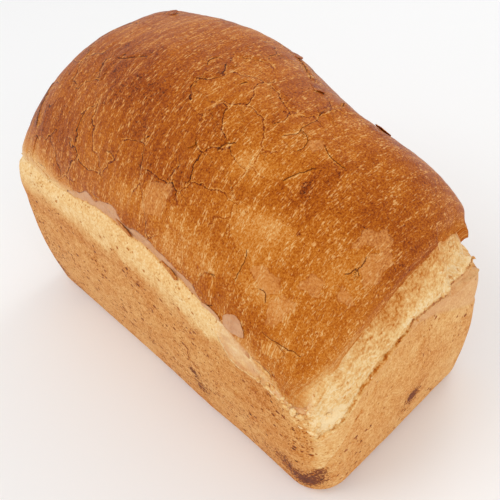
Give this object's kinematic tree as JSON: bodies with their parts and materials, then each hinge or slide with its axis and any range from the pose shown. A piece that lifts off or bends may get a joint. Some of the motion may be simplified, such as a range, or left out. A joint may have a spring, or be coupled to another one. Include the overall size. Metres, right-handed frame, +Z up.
{
  "type": "tin loaf",
  "caption": "Tall uncut white loaf with straight tin-baked sides, a high rounded brown crown, and a pale torn band across one end.",
  "frame": {"origin": "middle of the footprint, on the surface that the loaf stands on", "axes": "+X along the loaf, towards the torn end; +Z up"},
  "size_m": [0.213, 0.1136, 0.1481],
  "materials": {
    "crust": "baked crust: orange-brown and slightly glossy on the crown, pale golden and dull on the tin-baked sides"
  },
  "bodies": {
    "root": {"loaf": "crust"}
  },
  "joints": []
}
